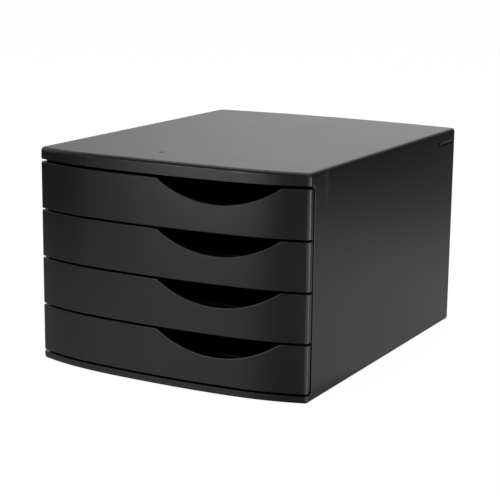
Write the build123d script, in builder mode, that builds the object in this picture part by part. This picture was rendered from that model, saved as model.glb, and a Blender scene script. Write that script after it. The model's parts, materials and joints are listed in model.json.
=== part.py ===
"""Four-drawer desktop letter tray cabinet, moulded in plastic, built piece by piece.

Millimetres, +Z up, front towards -Y. The origin is under the middle of the closed unit,
at floor level. Drawer 1 is the top one.
"""

from build123d import *
import os

# ---------------------------------------------------------------- driving dimensions
unit_width = 286.0  # over the side panels
case_depth = 334.0  # side panel, front edge to rear face
return_depth = 9.0  # how far a drawer front wraps back round its corners
bow_rise = 18.2  # middle of the front ahead of its corners
side_height = 206.5  # floor to the top of the side walls
top_crown = 1.5  # rise of the top across its width
wall = 2.5  # case and drawer-front wall
foot_lift = 0.8  # the rubber feet hold the base this far off the desk

# front bow, seen from above: a shallow middle arc and two tighter end arcs
bow_middle_half = 80.0
bow_middle_drop = 3.4
corner_radius = 4.0
rear_corner_radius = 4.0

# heights
base_lip_top = 6.0
skirt_bottom = 195.1
drawer_count = 4
drawer_pitch = 46.6
front_gap = 1.8
front_height = drawer_pitch - front_gap
lowest_front = base_lip_top + front_gap

# finger scoop in the top edge of each drawer front, right of the middle
scoop_center = 58.0
scoop_half_width = 60.5
scoop_depth = 19.0
scoop_end_radius = 5.0

# drawer tray
tray_half_width = 133.0
tray_wall = 1.8
tray_floor_height = 2.0  # floor underside above the front's bottom edge
tray_rim_height = 39.0  # rim above the front's bottom edge
tray_draft = 0.8  # how much narrower the tray is at its floor
tray_front_reach = 4.0  # tray's front wall ahead of the side panels
tray_rear_clearance = 7.0
flange_thickness = 2.0
drawer_travel = 250.0

# runners moulded on the side panels
ledge_width = 6.5
ledge_thickness = 2.0
guide_thickness = 1.8
channel_height = 4.5
slide_play = 0.1
stop_height = 2.0
stop_gap = 0.3

# small clearances
seam = 0.2
cover_seam = 0.05  # the cover's skirt all but touches the side panels
return_gap = 3.0  # black line between a drawer front's end and the side panel
bite = 0.5  # how far a moulded feature runs into the wall it grows from

# ---------------------------------------------------------------- places worked out from them
half_width = unit_width / 2
unit_depth = case_depth + return_depth + bow_rise
front_y = -unit_depth / 2
corner_y = front_y + bow_rise
side_y = corner_y + return_depth
rear_y = unit_depth / 2
inner_x = half_width - wall
tray_front_y = side_y - tray_front_reach
tray_rear_y = rear_y - tray_rear_clearance
drawer_levels = [lowest_front + drawer_pitch * (drawer_count - n) for n in range(1, drawer_count + 1)]

os.makedirs("parts", exist_ok=True)


def save(piece, name):
    """Label a finished piece and write its STEP file."""
    piece.part.label = name
    export_step(piece.part, f"parts/{name}.step")


# ---------------------------------------------------------------- shared outlines
def bowed_outline(back_y, inset=0.0, rear_radius=0.0):
    """Plan view of the unit: bowed front, rounded front corners, straight sides and back.

    The inset draws the front and sides in; the back stays at back_y.
    """
    drawn_back_y = back_y + inset
    with BuildSketch() as outline:
        with BuildLine():
            middle = ThreePointArc(
                (-bow_middle_half, front_y + bow_middle_drop),
                (0, front_y),
                (bow_middle_half, front_y + bow_middle_drop),
            )
            right = TangentArc(middle @ 1, (half_width, corner_y), tangent=middle % 1)
            left = TangentArc(middle @ 0, (-half_width, corner_y), tangent=(middle % 0) * -1)
            Polyline(right @ 1, (half_width, drawn_back_y), (-half_width, drawn_back_y), left @ 1)
        make_face()
        corners = outline.vertices().filter_by(lambda v: abs(v.Y - corner_y) < 0.01)
        fillet(corners, corner_radius)
        if rear_radius > 0:
            fillet(outline.vertices().group_by(Axis.Y)[-1], rear_radius)
        if inset > 0:
            offset(amount=-inset, kind=Kind.INTERSECTION)
    return outline.sketch


def crowned_block(inset, bottom_z, edge_radius):
    """Solid under the crowned top, cut to the plan outline, both drawn in by the inset."""
    half = half_width - inset + section_margin
    shoulder = side_height - inset
    plan = bowed_outline(rear_y - inset, inset, rear_corner_radius)
    with BuildPart() as block:
        with BuildSketch(Plane.XZ):
            with BuildLine():
                crown = ThreePointArc((-half, shoulder), (0, shoulder + top_crown), (half, shoulder))
                Polyline(crown @ 1, (half, bottom_z), (-half, bottom_z), crown @ 0)
            make_face()
        extrude(amount=unit_depth, both=True)
        with BuildSketch(Plane.XY.offset(bottom_z)):
            add(plan)
        extrude(amount=2 * (side_height - skirt_bottom), mode=Mode.INTERSECT)
        fillet(block.faces().sort_by(Axis.Z)[-1].edges(), edge_radius)
    return block.part


# ---------------------------------------------------------------- top cover
top_edge_radius = 3.7
section_margin = 0.02  # the crowned section is a hair wider than the plan that trims it
rib_thickness = 1.6
top_rib_bottom = 199.0
top_rib_spacing = 46.0
band_length = 24.0  # raised band behind the front edge of each side
band_step = 0.25
latch_length = 37.0  # latch tab near the rear top of each side
latch_rear_gap = 8.0
latch_bottom = 192.9
latch_height = skirt_bottom + bite - latch_bottom
latch_ridge_height = 195.0
latch_ridge_radius = 1.3
latch_ridge_proud = 0.8
hook_positions = [side_y + 60, side_y + 160, side_y + 255]
hook_length = 10.0
hook_reach = 1.3
hook_top = 200.6
hook_height = 3.4

cover_hollow = crowned_block(wall, skirt_bottom - 1, top_edge_radius - wall)
latch_center_y = rear_y - latch_rear_gap - latch_length / 2

with BuildPart() as top_cover:
    add(crowned_block(0, skirt_bottom, top_edge_radius))
    add(cover_hollow, mode=Mode.SUBTRACT)
    # the sides step in behind the front band
    for side in (-1, 1):
        with BuildSketch(Plane.XY.offset(skirt_bottom)):
            with Locations((side * half_width, side_y + band_length)):
                Rectangle(2 * band_step, case_depth, align=(Align.CENTER, Align.MIN))
        extrude(amount=side_height - top_edge_radius - skirt_bottom, mode=Mode.SUBTRACT)
    # stiffening ribs under the top
    with BuildSketch(Plane.XY.offset(top_rib_bottom)):
        with GridLocations(top_rib_spacing, 0, 5, 1):
            with Locations((0, side_y + case_depth / 2)):
                Rectangle(rib_thickness, case_depth - 2 * wall)
    extrude(amount=side_height - top_rib_bottom - wall / 2)
    # latch tabs with a ridge, and snap hooks inside the skirt
    for side in (-1, 1):
        with BuildSketch(Plane.XZ.offset(-(latch_center_y + latch_length / 2))):
            with Locations((side * (inner_x + wall / 2 - band_step / 2), latch_bottom)):
                Rectangle(wall - band_step, latch_height, align=(Align.CENTER, Align.MIN))
            ridge_x = side * (half_width - latch_ridge_radius + latch_ridge_proud)
            with Locations((ridge_x, latch_ridge_height)):
                Circle(latch_ridge_radius)
        extrude(amount=latch_length)
        for hook_y in hook_positions:
            with BuildSketch(Plane.XZ.offset(-(hook_y + hook_length / 2))):
                with BuildLine():
                    Polyline(
                        (side * (inner_x + bite), hook_top),
                        (side * (inner_x - hook_reach), hook_top),
                        (side * (inner_x + bite), hook_top - hook_height),
                        close=True,
                    )
                make_face()
            extrude(amount=hook_length)
save(top_cover, "top_cover")

case_outline = bowed_outline(rear_y, 0, rear_corner_radius)


# ---------------------------------------------------------------- side panels
toe_radius = 4.3  # rounded lower corner of the drawer opening
toe_fillet = 4.2
bottom_edge_radius = 1.0
opening_edge_radius = 0.6  # outer edge of the drawer opening
runner_front_y = side_y + 3.0
runner_rear_y = rear_y - wall - seam - rib_thickness
lead_in = 3.0
stop_front = 8.0  # stop wedge behind the side panel's front edge
stop_length = 6.0
tie_rib_positions = [side_y + band_length, side_y + 120, side_y + 210, side_y + 290]
tie_rib_depth = 4.5
tongue_thickness = 2.0
tongue_top = 203.0
tongue_front_y = side_y + 4.0
tongue_rear_y = rear_y - 8.0
shelf_bottom = 191.1
notch_bottom = 191.4
hook_play = 1.0  # windows and notches are this much longer than what goes in them
bottom_flange_width = 6.5
bottom_flange_low = 2.0
base_plate_low = 3.8
peg_positions = [side_y + 30, side_y + 120, side_y + 210, side_y + 300]
peg_radius = 2.0
peg_x = inner_x - bottom_flange_width / 2

with BuildPart() as right_side_panel:
    with BuildSketch(Plane.YZ.offset(inner_x)) as profile:
        with BuildLine():
            Polyline(
                (side_y, skirt_bottom - cover_seam),
                (side_y, base_lip_top),
                (side_y - toe_radius, base_lip_top),
                (side_y - toe_radius, foot_lift),
                (rear_y, foot_lift),
                (rear_y, skirt_bottom - cover_seam),
                close=True,
            )
        make_face()
        inner_corner = profile.vertices().sort_by_distance((side_y, base_lip_top))[0]
        fillet(inner_corner, toe_fillet)
    extrude(amount=wall)
    with BuildSketch(Plane.XY):
        add(case_outline)
    extrude(amount=side_height, mode=Mode.INTERSECT)
    bottom_edges = right_side_panel.faces().sort_by(Axis.Z)[0].edges().filter_by(Axis.Y)
    fillet(bottom_edges.sort_by(Axis.X)[-1], bottom_edge_radius)
    outer_edges = right_side_panel.faces().filter_by(Plane.YZ).sort_by(Axis.X)[-1].edges()
    opening_edges = outer_edges.filter_by(
        lambda e: (e @ 0.5).Z > base_lip_top - 0.1 and (e @ 0.5).Y < side_y + 0.1
    )
    fillet(opening_edges, opening_edge_radius)
    with BuildSketch(Plane.XY.offset(foot_lift)):
        with Locations((half_width, side_y + band_length)):
            Rectangle(2 * band_step, case_depth, align=(Align.CENTER, Align.MIN))
    extrude(amount=side_height, mode=Mode.SUBTRACT)
    # a ledge and a guide above it make the channel that each drawer's rim flange runs in
    with BuildSketch(Plane.YZ.offset(inner_x)):
        for level in drawer_levels:
            ledge_top = level + tray_rim_height - flange_thickness - slide_play
            guide_low = ledge_top + channel_height
            stop_y = side_y + stop_front
            with BuildLine():
                Polyline(
                    (runner_front_y, ledge_top - ledge_thickness),
                    (runner_front_y, ledge_top - ledge_thickness / 2),
                    (runner_front_y + lead_in, ledge_top),
                    (runner_rear_y, ledge_top),
                    (runner_rear_y, ledge_top - ledge_thickness),
                    close=True,
                )
            make_face()
            with BuildLine():
                Polyline(
                    (runner_front_y, guide_low + guide_thickness),
                    (runner_front_y, guide_low),
                    (stop_y, guide_low),
                    (stop_y + stop_length, guide_low - stop_height),
                    (stop_y + stop_length, guide_low),
                    (runner_rear_y, guide_low),
                    (runner_rear_y, guide_low + guide_thickness),
                    close=True,
                )
            make_face()
    extrude(amount=-ledge_width)
    # rib that the back panel bears on, and ties between the runners
    with BuildSketch(Plane.YZ.offset(inner_x)):
        with Locations((runner_rear_y, base_lip_top)):
            Rectangle(rib_thickness, shelf_bottom + bite - base_lip_top, align=(Align.MIN, Align.MIN))
    extrude(amount=-ledge_width)
    with BuildSketch(Plane.YZ.offset(inner_x)):
        for level in drawer_levels:
            ledge_top = level + tray_rim_height - flange_thickness - slide_play
            tie_top = ledge_top - ledge_thickness + bite
            guide_top_below = ledge_top - drawer_pitch + channel_height + guide_thickness
            tie_bottom = max(guide_top_below - bite, base_lip_top)
            with Locations([(y, tie_bottom) for y in tie_rib_positions]):
                Rectangle(rib_thickness, tie_top - tie_bottom, align=(Align.CENTER, Align.MIN))
    extrude(amount=-tie_rib_depth)
    # shelf and tongue that reach up inside the cover's skirt, with a window for each hook
    tongue_length = tongue_rear_y - tongue_front_y
    with BuildSketch(Plane.XZ.offset(-tongue_rear_y)):
        with Locations((inner_x - seam - tongue_thickness, shelf_bottom)):
            Rectangle(tongue_thickness, tongue_top - shelf_bottom, align=(Align.MIN, Align.MIN))
            Rectangle(
                tongue_thickness + 2 * seam,
                skirt_bottom - seam - shelf_bottom,
                align=(Align.MIN, Align.MIN),
            )
    extrude(amount=tongue_length)
    with BuildSketch(Plane.YZ.offset(inner_x)):
        with Locations([(y, hook_top + seam) for y in hook_positions]):
            Rectangle(hook_length + hook_play, hook_height + 2 * seam, align=(Align.CENTER, Align.MAX))
    extrude(amount=-(tongue_thickness + bite), mode=Mode.SUBTRACT)
    # notch for the cover's latch tab
    with BuildSketch(Plane.YZ.offset(inner_x)):
        with Locations((latch_center_y, notch_bottom)):
            Rectangle(
                latch_length + hook_play,
                skirt_bottom - notch_bottom,
                align=(Align.CENTER, Align.MIN),
            )
    extrude(amount=wall, mode=Mode.SUBTRACT)
    # flange under the base panel, with holes for its pegs
    with BuildSketch(Plane.XY.offset(bottom_flange_low)):
        with Locations((inner_x + bite, side_y)):
            Rectangle(bottom_flange_width + bite, case_depth - wall - seam, align=(Align.MAX, Align.MIN))
        with Locations([(peg_x, y) for y in peg_positions]):
            Circle(peg_radius + seam / 2, mode=Mode.SUBTRACT)
    extrude(amount=base_plate_low - bottom_flange_low)
save(right_side_panel, "right_side_panel")

with BuildPart() as left_side_panel:
    add(mirror(right_side_panel.part, about=Plane.YZ))
save(left_side_panel, "left_side_panel")


# ---------------------------------------------------------------- base panel
lip_bottom_radius = 1.0
base_rib_low = 1.4
foot_radius = 7.0
foot_x = 118.0
foot_front_y = side_y + 16.0
foot_rear_y = rear_y - 24.0
foot_places = [(x, y) for y in (foot_front_y, foot_rear_y) for x in (-foot_x, foot_x)]
socket_wall = 1.6

with BuildPart() as base_panel:
    lip_back_y = side_y - toe_radius - seam
    with BuildSketch(Plane.XY.offset(foot_lift)):
        add(bowed_outline(lip_back_y))
    extrude(amount=base_lip_top - foot_lift)
    lip_bottom = base_panel.faces().sort_by(Axis.Z)[0].edges()
    fillet(lip_bottom.filter_by(lambda e: (e @ 0.5).Y < lip_back_y - 0.5), lip_bottom_radius)
    with BuildSketch(Plane.XY.offset(foot_lift)):
        add(bowed_outline(lip_back_y, wall))
    extrude(amount=base_plate_low - foot_lift, mode=Mode.SUBTRACT)
    with BuildSketch(Plane.XY.offset(base_plate_low)):
        with Locations((0, lip_back_y - bite)):
            Rectangle(2 * (inner_x - seam), rear_y - lip_back_y + bite, align=(Align.CENTER, Align.MIN))
        add(case_outline, mode=Mode.INTERSECT)
    extrude(amount=base_lip_top - base_plate_low)
    # rear rim and stiffening ribs under the plate
    with BuildSketch(Plane.XY.offset(foot_lift)):
        with Locations((0, rear_y)):
            Rectangle(2 * (inner_x - seam), wall, align=(Align.CENTER, Align.MAX))
        add(case_outline, mode=Mode.INTERSECT)
    extrude(amount=base_plate_low - foot_lift)
    rib_span_x = 2 * (inner_x - bottom_flange_width - 1)
    rib_span_y = rear_y - lip_back_y
    with BuildSketch(Plane.XY.offset(base_rib_low)):
        with Locations((0, (lip_back_y + rear_y) / 2)):
            with GridLocations(rib_span_x / 6, 0, 7, 1):
                Rectangle(rib_thickness, rib_span_y)
            with GridLocations(0, rib_span_y / 6, 1, 6):
                Rectangle(rib_span_x, rib_thickness)
        with Locations(foot_places):
            Circle(foot_radius + socket_wall + seam)
            Circle(foot_radius + seam, mode=Mode.SUBTRACT)
    extrude(amount=base_plate_low - base_rib_low)
    with BuildSketch(Plane.XY.offset(bottom_flange_low)):
        with Locations([(side * peg_x, y) for side in (-1, 1) for y in peg_positions]):
            Circle(peg_radius)
    extrude(amount=base_plate_low - bottom_flange_low)
save(base_panel, "base_panel")


# ---------------------------------------------------------------- back panel
back_tongue_low = 190.0
back_rib_depth = 2.0
back_rib_heights = [40.0, 90.0, 140.0]
back_tongue_half = inner_x - 12.0
back_tongue_top = 199.0

with BuildPart() as back_panel:
    with BuildSketch(Plane.XY.offset(base_lip_top)):
        with Locations((0, rear_y)):
            Rectangle(2 * (inner_x - seam), wall, align=(Align.CENTER, Align.MAX))
        add(case_outline, mode=Mode.INTERSECT)
    extrude(amount=skirt_bottom - cover_seam - base_lip_top)
    # stepped tongue inside the cover's rear skirt
    with BuildSketch(Plane.XY.offset(back_tongue_low)):
        with Locations((0, rear_y - wall + seam)):
            Rectangle(2 * back_tongue_half, tongue_thickness + 2 * seam, align=(Align.CENTER, Align.MAX))
    extrude(amount=skirt_bottom - seam - back_tongue_low)
    with BuildSketch(Plane.XY.offset(skirt_bottom - seam)):
        with Locations((0, rear_y - wall - seam)):
            Rectangle(2 * back_tongue_half, tongue_thickness, align=(Align.CENTER, Align.MAX))
    extrude(amount=back_tongue_top - skirt_bottom + seam)
    # cross ribs on the inside
    with BuildSketch(Plane.XZ.offset(-(rear_y - wall))):
        with Locations([(0, z) for z in back_rib_heights]):
            Rectangle(2 * (inner_x - ledge_width - 2), rib_thickness)
    extrude(amount=back_rib_depth)
save(back_panel, "back_panel")


# ---------------------------------------------------------------- rubber feet
foot_chamfer = 0.6

foot_names = ["foot_front_left", "foot_front_right", "foot_rear_left", "foot_rear_right"]
for name, (x, y) in zip(foot_names, foot_places):
    with BuildPart() as foot:
        with BuildSketch():
            with Locations((x, y)):
                Circle(foot_radius)
        extrude(amount=base_plate_low)
        chamfer(foot.faces().sort_by(Axis.Z)[0].edges(), foot_chamfer)
    save(foot, name)


# ---------------------------------------------------------------- drawers
front_edge_radius = 0.8
web_low = 1.5
web_thickness = 1.8
rib_positions = [-115.0, -62.0, -9.0, 120.0]
rib_top = 40.0
scoop_rib_top = 14.0  # the rib under the scoop stays low, out of sight
pad_width = 14.0
pad_top = 34.0
clip_height = 24.0
clip_width = 8.0
clip_thickness = 1.6
clip_catch = 1.2
clip_nose = 2.4  # how far a clip's nose stands inside the tray's front wall
tray_corner_radius = 6.0
tray_floor_radius = 3.0
flange_reach = inner_x - 0.6
flange_front_y = side_y + 4.0
flange_lug_y = side_y + stop_front + stop_length + stop_gap + drawer_travel
flange_lug_length = 3.0
lug_width = 4.0
inner_wall_dip = 15.5  # the tray's front wall dips behind the scoop

front_outline = bowed_outline(side_y - return_gap)
front_shell = front_outline - bowed_outline(side_y, wall)
front_shell_outer = front_outline.edges().filter_by(lambda e: (e @ 0.5).Y < side_y - return_gap - 0.1)
front_inside = bowed_outline(tray_front_y, wall - 0.05)


def scooped_elevation(top_z, bottom_z):
    """Front view of a drawer front: a band with the scoop cut out of its top edge."""
    with BuildSketch(Plane.XZ) as elevation:
        with BuildLine():
            scoop = ThreePointArc(
                (scoop_center - scoop_half_width, top_z),
                (scoop_center, top_z - scoop_depth),
                (scoop_center + scoop_half_width, top_z),
            )
            Polyline(
                scoop @ 1,
                (half_width + 1, top_z),
                (half_width + 1, bottom_z),
                (-half_width - 1, bottom_z),
                (-half_width - 1, top_z),
                scoop @ 0,
            )
        make_face()
        ends = [elevation.vertices().sort_by_distance(scoop @ t)[0] for t in (0, 1)]
        fillet(ends, scoop_end_radius)
    return elevation.sketch


def on_front_face(edge):
    """True for the top, bottom and scoop edges on the outer face of a drawer front."""
    middle = edge @ 0.5
    upright = abs((edge % 0.5).Z) > 0.99
    footprint = Vertex(middle.X, middle.Y, 0)
    return not upright and min(side.distance_to(footprint) for side in front_shell_outer) < 0.01


def tray_shape(level, shrink, bottom, top):
    """Open-tray body: narrower at the floor, with a plumb front wall."""
    half_top = tray_half_width - shrink
    half_bottom = half_top - tray_draft
    front = tray_front_y + shrink
    rear_top = tray_rear_y - shrink
    rear_bottom = rear_top - tray_draft
    radius = tray_corner_radius - shrink
    with BuildPart() as body:
        with BuildSketch(Plane.XY.offset(level + bottom)):
            with Locations((0, (front + rear_bottom) / 2)):
                RectangleRounded(2 * half_bottom, rear_bottom - front, radius)
        with BuildSketch(Plane.XY.offset(level + top)):
            with Locations((0, (front + rear_top) / 2)):
                RectangleRounded(2 * half_top, rear_top - front, radius)
        loft()
        fillet(body.faces().sort_by(Axis.Z)[0].edges(), tray_floor_radius - shrink)
    return body.part


for number, level in enumerate(drawer_levels, start=1):
    top_z = level + front_height
    elevation = scooped_elevation(top_z, level)

    with BuildPart() as front:
        with BuildSketch(Plane.XY.offset(level)):
            add(front_shell)
        extrude(amount=front_height)
        if number == drawer_count:
            for side in (-1, 1):
                low_edges = front.edges().filter_by(Axis.X).sort_by_distance(
                    (side * half_width, side_y - return_gap, level)
                )
                fillet(low_edges[0], toe_radius)
        # web that closes the bottom, and ribs that carry the shell
        with BuildSketch(Plane.XY.offset(level + web_low)):
            add(front_inside)
        extrude(amount=web_thickness)
        for places, height in ((rib_positions, rib_top), ([scoop_center], scoop_rib_top)):
            with BuildSketch(Plane.XY.offset(level + web_low)):
                with Locations([(x, tray_front_y) for x in places]):
                    Rectangle(rib_thickness, return_depth + bow_rise, align=(Align.CENTER, Align.MAX))
                add(front_inside, mode=Mode.INTERSECT)
            extrude(amount=height - web_low)
        with BuildSketch(Plane.XY.offset(level + web_low)):
            with Locations([(x, tray_front_y) for x in rib_positions]):
                Rectangle(pad_width, rib_thickness, align=(Align.CENTER, Align.MAX))
        extrude(amount=pad_top - web_low)
        with BuildSketch(Plane.XZ):
            add(elevation)
        extrude(amount=unit_depth, both=True, mode=Mode.INTERSECT)
        fillet(front.edges().filter_by(on_front_face), front_edge_radius)
        # clips through the tray's front wall
        clip_low = level + clip_height
        catch_y = tray_front_y + tray_wall + seam / 2
        for x in rib_positions:
            with BuildSketch(Plane.YZ.offset(x - clip_width / 2)):
                with BuildLine():
                    Polyline(
                        (tray_front_y - bite, clip_low),
                        (tray_front_y - bite, clip_low + clip_thickness),
                        (catch_y, clip_low + clip_thickness),
                        (catch_y, clip_low + clip_thickness + clip_catch),
                        (catch_y + clip_nose, clip_low + clip_thickness / 2),
                        (catch_y + clip_nose, clip_low),
                        close=True,
                    )
                make_face()
            extrude(amount=clip_width)
    save(front, f"drawer_{number}_front")

    with BuildPart() as tray:
        add(tray_shape(level, 0, tray_floor_height, tray_rim_height))
        add(
            tray_shape(level, tray_wall, tray_floor_height + tray_wall, tray_rim_height + 0.01),
            mode=Mode.SUBTRACT,
        )
        # side flanges that run in the channels
        with BuildSketch(Plane.XY.offset(level + tray_rim_height - flange_thickness)):
            for side in (-1, 1):
                with Locations((side * (tray_half_width - tray_wall / 2), flange_front_y)):
                    Rectangle(
                        flange_reach - tray_half_width + tray_wall / 2,
                        tray_rear_y - tray_corner_radius - flange_front_y,
                        align=(Align.MIN if side > 0 else Align.MAX, Align.MIN),
                    )
        extrude(amount=flange_thickness)
        # stop lugs on the flanges
        with BuildSketch(Plane.XY.offset(level + tray_rim_height)):
            for side in (-1, 1):
                with Locations((side * (flange_reach - lug_width / 2), flange_lug_y)):
                    Rectangle(lug_width, flange_lug_length, align=(Align.CENTER, Align.MIN))
        extrude(amount=stop_height)
        # dip in the front wall behind the scoop, and windows for the clips
        with BuildSketch(Plane.XZ.offset(-tray_front_y)):
            with Locations((scoop_center, level + tray_rim_height)):
                Ellipse(scoop_half_width, inner_wall_dip)
        extrude(amount=-tray_wall - bite, mode=Mode.SUBTRACT)
        with BuildSketch(Plane.XZ.offset(-tray_front_y)):
            with Locations([(x, level + clip_height - seam) for x in rib_positions]):
                Rectangle(
                    clip_width + 2 * seam,
                    clip_thickness + 2 * seam,
                    align=(Align.CENTER, Align.MIN),
                )
        extrude(amount=-tray_wall, mode=Mode.SUBTRACT)
    save(tray, f"drawer_{number}_tray")
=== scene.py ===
import json
import math

import bpy
from mathutils import Matrix, Vector

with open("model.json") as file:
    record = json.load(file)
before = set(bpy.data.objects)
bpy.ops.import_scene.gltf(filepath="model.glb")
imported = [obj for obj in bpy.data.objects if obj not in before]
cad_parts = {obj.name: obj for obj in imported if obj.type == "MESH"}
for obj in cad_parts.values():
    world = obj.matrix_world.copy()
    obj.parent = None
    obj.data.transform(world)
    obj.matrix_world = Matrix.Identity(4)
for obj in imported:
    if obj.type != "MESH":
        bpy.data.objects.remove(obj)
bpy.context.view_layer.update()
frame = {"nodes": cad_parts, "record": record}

scene = bpy.context.scene
MM = 0.001
WHITE = (1.0, 1.0, 1.0, 1.0)

# ---------------------------------------------------------------- camera
CAMERA_PLACE = (0.69398, -1.28292, 0.41647)
CAMERA_AZIMUTH = math.radians(28.555)  # round from the front towards the right side
CAMERA_PITCH = math.radians(12.544)  # looking down
CAMERA_ROLL = math.radians(0.66)
CAMERA_LENS = 106.287  # mm, on a sensor of this width
SENSOR_WIDTH = 36.0


def place_camera():
    """Camera from its azimuth, pitch and roll: its back axis points from the object to it,
    and its right and up axes turn about that by the roll."""
    sin_a, cos_a = math.sin(CAMERA_AZIMUTH), math.cos(CAMERA_AZIMUTH)
    cos_p = math.cos(CAMERA_PITCH)
    back = Vector((sin_a * cos_p, -cos_a * cos_p, math.sin(CAMERA_PITCH)))
    level = Vector((cos_a, sin_a, 0.0))
    upright = back.cross(level)
    right = level * math.cos(CAMERA_ROLL) + upright * math.sin(CAMERA_ROLL)
    up = upright * math.cos(CAMERA_ROLL) - level * math.sin(CAMERA_ROLL)
    data = bpy.data.cameras.new("camera")
    data.lens = CAMERA_LENS
    data.sensor_width = SENSOR_WIDTH
    data.clip_end = 100.0
    camera = bpy.data.objects.new("camera", data)
    scene.collection.objects.link(camera)
    turn = Matrix((right, up, back)).transposed().to_4x4()
    camera.matrix_world = Matrix.Translation(CAMERA_PLACE) @ turn
    scene.camera = camera


# ---------------------------------------------------------------- node helpers
def math_node(tree, operation, first, second=None, third=None, clamp=False):
    """A Math node whose inputs are sockets or plain numbers."""
    made = tree.nodes.new("ShaderNodeMath")
    made.operation = operation
    made.use_clamp = clamp
    for socket, value in zip(made.inputs, (first, second, third)):
        if value is None:
            continue
        if isinstance(value, (int, float)):
            socket.default_value = value
        else:
            tree.links.new(value, socket)
    return made.outputs[0]


def multiply(tree, first, *others):
    """The product of sockets and plain numbers."""
    for other in others:
        first = math_node(tree, "MULTIPLY", first, other)
    return first


def add(tree, first, *others):
    """The sum of sockets and plain numbers."""
    for other in others:
        first = math_node(tree, "ADD", first, other)
    return first


def ramp(tree, value, start, end, at_start=0.0, at_end=1.0, kind="LINEAR"):
    """at_start up to start, at_end from end on, and a straight line between them."""
    made = tree.nodes.new("ShaderNodeMapRange")
    made.interpolation_type = kind
    made.inputs["From Min"].default_value = start
    made.inputs["From Max"].default_value = end
    made.inputs["To Min"].default_value = at_start
    made.inputs["To Max"].default_value = at_end
    tree.links.new(value, made.inputs["Value"])
    return made.outputs["Result"]


def soft_ramp(tree, value, start, end, at_start=0.0, at_end=1.0):
    """As ramp, eased at both ends: t t (3 - 2 t) of the way at t between start and end."""
    return ramp(tree, value, start, end, at_start, at_end, kind="SMOOTHSTEP")


def turning_ramp(tree, bearing, degrees, at_start=0.0, at_end=1.0):
    """As soft_ramp, for a bearing in radians, between a pair of angles in degrees."""
    start, end = (math.radians(angle) for angle in degrees)
    return soft_ramp(tree, bearing, start, end, at_start, at_end)


def coordinates(tree, vector):
    """The x, y and z of a vector."""
    made = tree.nodes.new("ShaderNodeSeparateXYZ")
    tree.links.new(vector, made.inputs[0])
    return made.outputs["X"], made.outputs["Y"], made.outputs["Z"]


def distance_from(tree, place, point):
    """How far place is from a fixed point."""
    made = tree.nodes.new("ShaderNodeVectorMath")
    made.operation = "DISTANCE"
    tree.links.new(place, made.inputs[0])
    made.inputs[1].default_value = point
    return made.outputs["Value"]


def noise(tree, vector, size, detail=2.0, roughness=0.5):
    """Noise whose blobs are about size metres across."""
    made = tree.nodes.new("ShaderNodeTexNoise")
    made.inputs["Scale"].default_value = 1.0 / size
    made.inputs["Detail"].default_value = detail
    made.inputs["Roughness"].default_value = roughness
    tree.links.new(vector, made.inputs["Vector"])
    return made.outputs["Fac"]


def tint(tree, share, base, over):
    """The base colour blended towards the colour over, a socket or four numbers, by share."""
    made = tree.nodes.new("ShaderNodeMix")
    made.data_type = "RGBA"
    tree.links.new(share, made.inputs["Factor"])
    tree.links.new(base, made.inputs["A"])
    if isinstance(over, tuple):
        made.inputs["B"].default_value = over
    else:
        tree.links.new(over, made.inputs["B"])
    return made.outputs["Result"]


def object_place(tree):
    """Place on the piece, in metres from the object's origin."""
    return tree.nodes.new("ShaderNodeTexCoord").outputs["Object"]


FLOAT, COLOR = "NodeSocketFloat", "NodeSocketColor"


def group(name, inputs, outputs):
    """An empty node group with named float or colour sockets."""
    tree = bpy.data.node_groups.new(name, "ShaderNodeTree")
    for label, kind, value in inputs:
        socket = tree.interface.new_socket(label, in_out="INPUT", socket_type=kind)
        socket.default_value = value
    for label, kind in outputs:
        tree.interface.new_socket(label, in_out="OUTPUT", socket_type=kind)
    return tree, tree.nodes.new("NodeGroupInput"), tree.nodes.new("NodeGroupOutput")


def use_group(tree, shared, **values):
    """Places a shared group and sets its inputs by name."""
    made = tree.nodes.new("ShaderNodeGroup")
    made.node_tree = shared
    for name, value in values.items():
        made.inputs[name.replace("_", " ")].default_value = value
    return made


# ---------------------------------------------------------------- shared effects
SLOW_PATCHES = 55 * MM  # size of the slow unevenness that mould polishing leaves
SMALL_PATCHES = 6 * MM  # and of the smaller patches in it
SMALL_SHARE = 0.35


def spark_grain_group():
    """Spark-eroded mould grain: fine noise as a height, and an uneven roughness, which is the
    mean roughness plus twice the spread times (small share of the small patches + the rest of
    the slow ones - 1/2)."""
    tree, given, out = group(
        "spark_grain",
        [
            ("Grain Size", FLOAT, 0.6 * MM),
            ("Roughness", FLOAT, 0.4),
            ("Spread", FLOAT, 0.06),
        ],
        [("Height", FLOAT), ("Roughness", FLOAT)],
    )
    place = object_place(tree)
    scaled = tree.nodes.new("ShaderNodeVectorMath")
    scaled.operation = "SCALE"
    tree.links.new(place, scaled.inputs[0])
    per_grain = math_node(tree, "DIVIDE", 1.0, given.outputs["Grain Size"])
    tree.links.new(per_grain, scaled.inputs["Scale"])
    grain = noise(tree, scaled.outputs["Vector"], 1.0, detail=3.0, roughness=0.6)
    tree.links.new(grain, out.inputs["Height"])
    slow = noise(tree, place, SLOW_PATCHES, detail=3.0)
    small = noise(tree, place, SMALL_PATCHES)
    rest = multiply(tree, slow, 1.0 - SMALL_SHARE)
    blend = math_node(tree, "MULTIPLY_ADD", small, SMALL_SHARE, rest)
    centred = math_node(tree, "SUBTRACT", blend, 0.5)
    uneven = multiply(tree, centred, given.outputs["Spread"])
    roughness = math_node(tree, "MULTIPLY_ADD", uneven, 2.0, given.outputs["Roughness"])
    tree.links.new(roughness, out.inputs["Roughness"])
    return tree


SPECK_SIZE = 1.6 * MM
SPECK_LEVELS = (0.52, 0.78)  # of the noise, from no dust to full dust
DRIFT_SIZE = 70 * MM
DRIFT_LEVELS = (0.35, 0.7)
DRIFT_LEAST = 0.35


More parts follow.
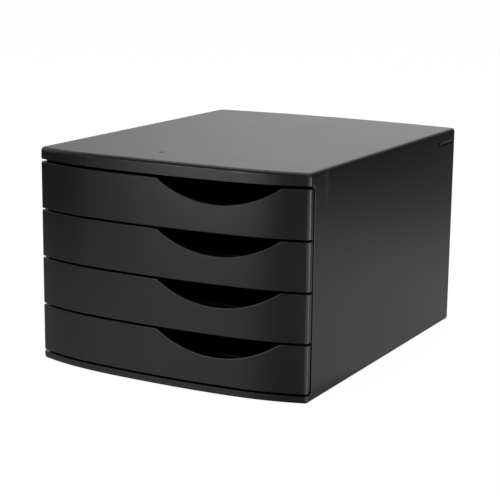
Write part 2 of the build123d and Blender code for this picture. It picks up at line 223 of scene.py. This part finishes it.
def settled_dust_group():
    """Light dust on faces that look up: specks of one noise, thinned by the drifts of a
    slower one, times the upward part of the normal."""
    tree, given, out = group(
        "settled_dust",
        [
            ("Color", COLOR, (0.01, 0.01, 0.01, 1)),
            ("Dust Color", COLOR, (0.2, 0.2, 0.2, 1)),
            ("Dust", FLOAT, 0.03),
        ],
        [("Color", COLOR)],
    )
    place = object_place(tree)
    normal = tree.nodes.new("ShaderNodeNewGeometry").outputs["Normal"]
    upward = ramp(tree, coordinates(tree, normal)[2], 0.3, 1.0)
    broken = noise(tree, place, SPECK_SIZE, detail=4.0, roughness=0.7)
    specks = ramp(tree, broken, *SPECK_LEVELS)
    drift = ramp(tree, noise(tree, place, DRIFT_SIZE), *DRIFT_LEVELS, DRIFT_LEAST, 1.0)
    mask = multiply(tree, specks, drift, upward)
    amount = math_node(tree, "MULTIPLY", mask, given.outputs["Dust"], clamp=True)
    dusty = tint(tree, amount, given.outputs["Color"], given.outputs["Dust Color"])
    tree.links.new(dusty, out.inputs["Color"])
    return tree


BAND_LINE_Y = -0.1294  # rear edge of the band behind each side's front edge
BAND_FADE = (0.165, 0.190)  # heights over which it comes out, towards the cover
BAND_EDGE = 1.5 * MM  # half the width over which the band turns into the rest of the side
BAND_DULLER = 0.012
LINE_EDGE = (1.0 * MM, 4.5 * MM)  # distances over which the witness line fades either way
LINE_DULLER = 0.035
# painted highlight: how far the witness line's colour is tinted towards a paler grey
LINE_HIGHLIGHT_SHARE = 0.05
LINE_HIGHLIGHT_GREY = (0.3, 0.3, 0.3, 1.0)
TOP_FROM = (204.5 * MM, 205.5 * MM)  # above this the top, which has neither band nor line
GATE_PLACE = (-0.0232, -0.1385, 0.2073)
GATE_RADIUS = 0.0032
GATE_DULLER = 0.4
GATE_HEIGHT = -3.0  # in grain heights


def mould_marks_and_highlight_group():
    """Marks that the mould leaves on the case: a witness line 24 mm behind the sides' front
    edge, fading downwards, rougher and with a painted highlight in its paler colour, with a
    slightly duller band ahead of it, and a round gate scar on the top. The line is a ridge of
    the distance from it; the scar is a disc with soft edges."""
    tree, given, out = group(
        "mould_marks_and_highlight",
        [
            ("Roughness", FLOAT, 0.3),
            ("Height", FLOAT, 0.5),
            ("Color", COLOR, (0.01, 0.01, 0.01, 1)),
        ],
        [("Roughness", FLOAT), ("Height", FLOAT), ("Color", COLOR)],
    )
    place = object_place(tree)
    _, y, z = coordinates(tree, place)
    high = multiply(tree, soft_ramp(tree, z, *BAND_FADE), ramp(tree, z, *TOP_FROM, 1.0, 0.0))
    behind = math_node(tree, "SUBTRACT", y, BAND_LINE_Y)
    ahead_or_behind = soft_ramp(tree, behind, -BAND_EDGE, BAND_EDGE, 1.0, -1.0)
    band = multiply(tree, ahead_or_behind, high)
    off_line = math_node(tree, "ABSOLUTE", behind)
    line = multiply(tree, soft_ramp(tree, off_line, *LINE_EDGE, 1.0, 0.0), high)
    off_gate = distance_from(tree, place, GATE_PLACE)
    scar = soft_ramp(tree, off_gate, 0.7 * GATE_RADIUS, GATE_RADIUS, 1.0, 0.0)
    roughness = given.outputs["Roughness"]
    for mark, duller in ((band, BAND_DULLER), (line, LINE_DULLER), (scar, GATE_DULLER)):
        roughness = math_node(tree, "MULTIPLY_ADD", mark, duller, roughness)
    height = math_node(tree, "MULTIPLY_ADD", scar, GATE_HEIGHT, given.outputs["Height"])
    # painted highlight: the witness line's colour is made paler
    colour = tint(tree, multiply(tree, line, LINE_HIGHLIGHT_SHARE), given.outputs["Color"], LINE_HIGHLIGHT_GREY)
    tree.links.new(roughness, out.inputs["Roughness"])
    tree.links.new(height, out.inputs["Height"])
    tree.links.new(colour, out.inputs["Color"])
    return tree


spark_grain = spark_grain_group()
settled_dust = settled_dust_group()
mould_marks_and_highlight = mould_marks_and_highlight_group()


# ---------------------------------------------------------------- finishes
def moulded_plastic(
    name, shade, roughness, spread, dust,
    grain_size=0.5 * MM, grain_depth=0.02 * MM, specular=0.5, marks=False,
):
    """Satin moulded plastic: near-black, fine spark grain in the bump, uneven roughness, a
    little dust, and on the case the marks of its mould, with a painted highlight on its witness
    line."""
    material = bpy.data.materials.new(name)
    material.use_nodes = True
    tree = material.node_tree
    tree.nodes.clear()
    out = tree.nodes.new("ShaderNodeOutputMaterial")
    shader = tree.nodes.new("ShaderNodeBsdfPrincipled")
    shader.inputs["IOR"].default_value = 1.5
    shader.inputs["Specular IOR Level"].default_value = specular
    grain = use_group(
        tree, spark_grain, Grain_Size=grain_size, Roughness=roughness, Spread=spread
    )
    surface = use_group(tree, settled_dust, Color=(*shade, 1.0), Dust=dust)
    finish = {
        "Height": grain.outputs["Height"],
        "Roughness": grain.outputs["Roughness"],
        "Color": surface.outputs["Color"],
    }
    # the case's mould marks, with the painted highlight on its witness line
    if marks:
        marked = use_group(tree, mould_marks_and_highlight)
        for label, socket in finish.items():
            tree.links.new(socket, marked.inputs[label])
            finish[label] = marked.outputs[label]
    bump = tree.nodes.new("ShaderNodeBump")
    bump.inputs["Strength"].default_value = 0.5
    bump.inputs["Distance"].default_value = grain_depth
    tree.links.new(finish["Height"], bump.inputs["Height"])
    tree.links.new(bump.outputs["Normal"], shader.inputs["Normal"])
    tree.links.new(finish["Roughness"], shader.inputs["Roughness"])
    tree.links.new(finish["Color"], shader.inputs["Base Color"])
    tree.links.new(shader.outputs["BSDF"], out.inputs["Surface"])
    return material


NEAR_BLACK = (0.006, 0.006, 0.0063)
TRAY_BLACK = (0.008, 0.008, 0.0084)
RUBBER_BLACK = (0.012, 0.012, 0.012)
finishes = {
    "case_plastic": moulded_plastic(
        "case_plastic", NEAR_BLACK, roughness=0.30, spread=0.025, dust=0.03, marks=True
    ),
    "front_plastic": moulded_plastic(
        "front_plastic", NEAR_BLACK, roughness=0.30, spread=0.03, dust=0.02
    ),
    "tray_plastic": moulded_plastic(
        "tray_plastic", TRAY_BLACK, roughness=0.40, spread=0.05, dust=0.02
    ),
    "foot_rubber": moulded_plastic(
        "foot_rubber", RUBBER_BLACK, roughness=0.8, spread=0.08, dust=0.05,
        grain_size=0.8 * MM, grain_depth=0.05 * MM, specular=0.3,
    ),
}

for entry in frame["record"]["subparts"]:
    part = frame["nodes"][entry["node"]]
    part.data.materials.clear()
    part.data.materials.append(finishes[entry["material_slot"]])


# ---------------------------------------------------------------- floor
FLOOR_REACH = 30.0
FLOOR_Z = -0.2 * MM
FLOOR_COLOUR = 0.86
FLOOR_WHITE = 0.92  # how much of what the camera sees of the floor is plain white
FLOOR_BRIGHT = 1.05  # and how bright that white is

# The unit's outline on the floor, where the floor's colour is painted black as the unit's
# shadow: half its width and its depth, and how far the front falls back from the middle to the
# corners, by t^2 and by t^4.
FOOTPRINT_HALF = 0.143
FOOTPRINT_BACK = 0.1806
FOOTPRINT_BOW = 0.0182
BOW_SQUARE, BOW_FOURTH = 0.413, 0.587
FOOTPRINT_EDGE = (-0.5 * MM, 1.5 * MM)

# The table as reflections show it: a painted glow of the floor that only glossy reflections
# see. The case and the drawer fronts stand upright and are seen from above, so what they mirror
# is the table round the unit. Brightnesses are pairs from start to end of a pair of distances in
# metres or of bearings in degrees.
TABLE_REACH = (0.3, 1.2)  # from the middle of the unit, over which the table's light falls
TABLE_SHEEN = (0.39, 0.0)
GLINT_REACH = (1.1, 1.5)  # over which the glowing cards and the brighter parts of the painted glow end

GLOW_CORNER = (0.143, -0.160)  # front right corner that two painted glows, like pale cards, fan round
WIDE_GLOW, WIDE_GLOW_START = 2.2, (12, 32)  # from the front right round to the side
NARROW_GLOW, NARROW_GLOW_START = 4.6, (75, 100)  # laid over its far end
GLOWS_END = (112, 130)
GLOW_REACH = (0.3, 0.85)  # the glows are dimmer close to the corner
GLOW_SHARE = (0.32, 1.0)

RIGHT_START = (122, 145)  # bearings past which the table right of the unit shows
RIGHT_REACH, RIGHT_SHEEN = (0.16, 0.60), (0.075, 0.1)  # from beside the unit to the right
RIGHT_END = (0.43, 0.65)
REAR_REACH, REAR_GAIN = (0.0, 0.4), (1.0, 1.4)  # brighter towards the back
FAR_REAR_REACH, FAR_REAR_GAIN = (0.7, 1.3), (1.0, 2.2)

LEFT_SHEEN = 0.55  # table left of the unit
LEFT_REACH = (0.05, -0.25)  # from the middle to the left
LEFT_FRONT = (-0.12, 0.1)  # and from its front corner to the back

MIRROR_CENTRE = (0.13, -0.005)  # where the bowed fronts' mirrored sight lines seem to meet
BRIGHTER_GLOW = 0.16  # brighter painted glow ahead and to the left
BRIGHTER_START, BRIGHTER_END = (-60, -44), (-21, -8)
DIMMER_SHARE = 0.5  # how much dimmer the painted glow is straight ahead
DIMMER_START, DIMMER_END = (-14, -2), (6, 24)


def painted_shadow_mask(tree, place):
    """Mask of the painted shadow: 1 on the floor under the unit, 0 outside, from the least
    distance inside the outline, whose front line is back from the middle by bow * (0.413 t^2 +
    0.587 t^4), t = x / half width."""
    x, y, _ = coordinates(tree, place)
    across = math_node(tree, "DIVIDE", x, FOOTPRINT_HALF)
    square = multiply(tree, across, across)
    fall = math_node(tree, "MULTIPLY_ADD", square, BOW_FOURTH, BOW_SQUARE)
    bow = multiply(tree, fall, square)
    front = math_node(tree, "MULTIPLY_ADD", bow, FOOTPRINT_BOW, -FOOTPRINT_BACK)
    from_front = math_node(tree, "SUBTRACT", y, front)
    from_back = math_node(tree, "SUBTRACT", FOOTPRINT_BACK, y)
    from_side = math_node(tree, "SUBTRACT", FOOTPRINT_HALF, math_node(tree, "ABSOLUTE", x))
    least = math_node(tree, "MINIMUM", from_front, from_back)
    least = math_node(tree, "MINIMUM", least, from_side)
    return soft_ramp(tree, least, *FOOTPRINT_EDGE)


def bearing_round(tree, place, centre):
    """Bearing of place round a point of the table, in radians from straight ahead of the
    drawers, positive to the right: the angle whose tangent is right over ahead."""
    x, y, _ = coordinates(tree, place)
    right = math_node(tree, "SUBTRACT", x, centre[0])
    ahead = math_node(tree, "SUBTRACT", centre[1], y)
    return math_node(tree, "ARCTAN2", right, ahead)


def corner_glow(tree, place):
    """Painted glow on the table, seen only in reflections, in place of two pale cards in a fan
    round the front right corner: the wide one plus the narrow one, each a soft ramp of the
    bearing, times a share that grows outwards."""
    bearing = bearing_round(tree, place, GLOW_CORNER)
    wide = turning_ramp(tree, bearing, WIDE_GLOW_START, 0.0, WIDE_GLOW)
    narrow = turning_ramp(tree, bearing, NARROW_GLOW_START, 0.0, NARROW_GLOW)
    before_end = turning_ramp(tree, bearing, GLOWS_END, 1.0, 0.0)
    outwards = distance_from(tree, place, (*GLOW_CORNER, 0.0))
    share = soft_ramp(tree, outwards, *GLOW_REACH, *GLOW_SHARE)
    return multiply(tree, add(tree, wide, narrow), before_end, share)


def right_table(tree, place):
    """Sheen of the table right of the unit, which the side panel mirrors: it grows and then
    ends to the right, and grows towards the back; the factors are multiplied."""
    x, y, _ = coordinates(tree, place)
    turned = math_node(tree, "ABSOLUTE", bearing_round(tree, place, GLOW_CORNER))
    past_cards = turning_ramp(tree, turned, RIGHT_START)
    outwards = ramp(tree, x, *RIGHT_REACH, *RIGHT_SHEEN)
    before_end = soft_ramp(tree, x, *RIGHT_END, 1.0, 0.0)
    backwards = ramp(tree, y, *REAR_REACH, *REAR_GAIN)
    far_back = ramp(tree, y, *FAR_REAR_REACH, *FAR_REAR_GAIN)
    return multiply(tree, outwards, before_end, backwards, far_back, past_cards)


def left_table(tree, place):
    """Sheen of the table left of the unit and behind its front corner."""
    x, y, _ = coordinates(tree, place)
    leftwards = soft_ramp(tree, x, *LEFT_REACH)
    past_front = soft_ramp(tree, y, *LEFT_FRONT)
    return multiply(tree, leftwards, past_front, LEFT_SHEEN)


def front_table(tree, place):
    """The painted glow of the table ahead of the drawers: the added sheen of a brighter sector
    to the left, and the factor of a dimmer sector straight ahead, each a soft ramp up and one
    down of the bearing."""
    bearing = bearing_round(tree, place, MIRROR_CENTRE)
    brighter_start = turning_ramp(tree, bearing, BRIGHTER_START)
    brighter_end = turning_ramp(tree, bearing, BRIGHTER_END, BRIGHTER_GLOW, 0.0)
    dimmer_start = turning_ramp(tree, bearing, DIMMER_START, 0.0, DIMMER_SHARE)
    dimmer_end = turning_ramp(tree, bearing, DIMMER_END, 1.0, 0.0)
    brighter = multiply(tree, brighter_start, brighter_end)
    dimmer = math_node(tree, "SUBTRACT", 1.0, multiply(tree, dimmer_start, dimmer_end))
    return brighter, dimmer


def table_sheen(tree, place):
    """Painted glow of the table, seen only in reflections: its own falling light, dimmer
    straight ahead, plus the sheen to the right, plus the glowing cards, the left and the
    brighter sector within reach."""
    outwards = distance_from(tree, place, (0.0, 0.0, 0.0))
    own = soft_ramp(tree, outwards, *TABLE_REACH, *TABLE_SHEEN)
    within = soft_ramp(tree, outwards, *GLINT_REACH, 1.0, 0.0)
    brighter, dimmer = front_table(tree, place)
    glints = add(tree, corner_glow(tree, place), left_table(tree, place), brighter)
    plain = math_node(tree, "MULTIPLY_ADD", own, dimmer, right_table(tree, place))
    return math_node(tree, "MULTIPLY_ADD", glints, within, plain)


def floor_white():
    """White floor material: for the camera mostly plain white with a trace of real shading,
    so the object keeps a faint contact shadow, and under the unit painted black as its shadow;
    in reflections a painted glow of the table's sheen."""
    material = bpy.data.materials.new("floor_white")
    material.use_nodes = True
    tree = material.node_tree
    tree.nodes.clear()
    out = tree.nodes.new("ShaderNodeOutputMaterial")
    diffuse = tree.nodes.new("ShaderNodeBsdfDiffuse")
    white = tree.nodes.new("ShaderNodeEmission")
    place = object_place(tree)
    path = tree.nodes.new("ShaderNodeLightPath")
    mirrored = path.outputs["Is Glossy Ray"]
    # painted shadow: under the unit the floor is black, and the camera sees no white there
    outside_painted_shadow = math_node(tree, "SUBTRACT", 1.0, painted_shadow_mask(tree, place))
    tree.links.new(multiply(tree, outside_painted_shadow, FLOOR_COLOUR), diffuse.inputs["Color"])
    seen = multiply(tree, path.outputs["Is Camera Ray"], outside_painted_shadow, FLOOR_WHITE)
    plain = math_node(tree, "MAXIMUM", seen, path.outputs["Is Transmission Ray"])
    share = math_node(tree, "MAXIMUM", plain, mirrored)
    # painted glow: in reflections the floor shows the table's sheen
    in_gloss = multiply(tree, mirrored, table_sheen(tree, place))
    otherwise = math_node(tree, "MULTIPLY_ADD", mirrored, -FLOOR_BRIGHT, FLOOR_BRIGHT)
    brightness = math_node(tree, "MAXIMUM", in_gloss, otherwise)
    tree.links.new(brightness, white.inputs["Strength"])
    mix = tree.nodes.new("ShaderNodeMixShader")
    tree.links.new(share, mix.inputs[0])
    tree.links.new(diffuse.outputs[0], mix.inputs[1])
    tree.links.new(white.outputs[0], mix.inputs[2])
    tree.links.new(mix.outputs[0], out.inputs["Surface"])
    return material


def lay_floor():
    """One large square just under the feet."""
    reach, z = FLOOR_REACH, FLOOR_Z
    corners = [(-reach, -reach, z), (reach, -reach, z), (reach, reach, z), (-reach, reach, z)]
    mesh = bpy.data.meshes.new("floor")
    mesh.from_pydata(corners, [], [(0, 1, 2, 3)])
    mesh.materials.append(floor_white())
    floor = bpy.data.objects.new("floor", mesh)
    scene.collection.objects.link(floor)


# ---------------------------------------------------------------- room and lamps
# Bearings are in degrees from straight behind the unit, positive to the right.
FILL = 0.4  # even light from all round on dull surfaces
ROOM_DIM = 0.1  # brightness of the room in reflections, away from the backdrop
BACKDROP_BRIGHT = 0.93  # and of the lit backdrop behind the object
BACKDROP_START, BACKDROP_END = (-41, -15), (-8, 16)
BACKDROP_LEAN = 0.9  # how far its left edge leans outwards with height, in radians
WALL_BRIGHT = 0.6  # pale side walls, left and right of the unit
WALL_START = (38, 70)  # either way
LEFT_WALL_END, RIGHT_WALL_END = (-128, -98), (135, 165)
UPPER_END = (0.6, 1.0)  # sine of the elevation over which backdrop and walls fade


def light_room():
    """White round the object for the camera; an even fill for dull surfaces; in reflections a
    dim room with a lit backdrop and pale walls, each a product of soft ramps of the bearing
    and the height, of which the brighter one shows."""
    world = bpy.data.worlds.new("studio")
    scene.world = world
    world.use_nodes = True
    tree = world.node_tree
    tree.nodes.clear()
    out = tree.nodes.new("ShaderNodeOutputWorld")
    background = tree.nodes.new("ShaderNodeBackground")
    background.inputs["Color"].default_value = WHITE
    path = tree.nodes.new("ShaderNodeLightPath")
    x, y, z = coordinates(tree, tree.nodes.new("ShaderNodeTexCoord").outputs["Generated"])
    bearing = math_node(tree, "ARCTAN2", x, y)
    below_top = soft_ramp(tree, z, *UPPER_END, 1.0, 0.0)
    leaning = math_node(tree, "MULTIPLY_ADD", z, BACKDROP_LEAN, bearing)
    backdrop_start = turning_ramp(tree, leaning, BACKDROP_START)
    backdrop_end = turning_ramp(tree, bearing, BACKDROP_END, 1.0, 0.0)
    above_room = BACKDROP_BRIGHT - ROOM_DIM
    backdrop = multiply(tree, backdrop_start, backdrop_end, below_top, above_room)
    wall_start = turning_ramp(tree, math_node(tree, "ABSOLUTE", bearing), WALL_START)
    left_end = turning_ramp(tree, bearing, LEFT_WALL_END)
    right_end = turning_ramp(tree, bearing, RIGHT_WALL_END, 1.0, 0.0)
    walls = multiply(tree, wall_start, left_end, right_end, below_top, WALL_BRIGHT)
    room = add(tree, math_node(tree, "MAXIMUM", backdrop, walls), ROOM_DIM)
    in_gloss = multiply(tree, path.outputs["Is Glossy Ray"], room)
    fill = multiply(tree, path.outputs["Is Diffuse Ray"], FILL)
    clear = path.outputs["Is Transmission Ray"]
    shown = math_node(tree, "MAXIMUM", path.outputs["Is Camera Ray"], clear)
    tree.links.new(add(tree, in_gloss, fill, shown), background.inputs["Strength"])
    tree.links.new(background.outputs[0], out.inputs["Surface"])


def softbox(name, place, aim, width, height, radiance):
    """Rectangular area lamp at place facing aim, with the given radiance (1 reads as white):
    its power is pi times radiance times area."""
    data = bpy.data.lights.new(name, "AREA")
    data.shape = "RECTANGLE"
    data.size = width
    data.size_y = height
    data.energy = radiance * math.pi * width * height
    lamp = bpy.data.objects.new(name, data)
    lamp.location = place
    lamp.rotation_euler = (Vector(aim) - Vector(place)).to_track_quat("-Z", "Y").to_euler()
    scene.collection.objects.link(lamp)


place_camera()
lay_floor()
light_room()
softbox("overhead", (0.0, 0.1, 1.9), (0.0, 0.0, 0.1), width=2.4, height=2.4, radiance=1.0)
softbox(
    "front", (-0.566, -1.91, 0.266), (0.05, -0.12, 0.1), width=1.1, height=0.45, radiance=6.5
)

scene.view_settings.view_transform = "Standard"
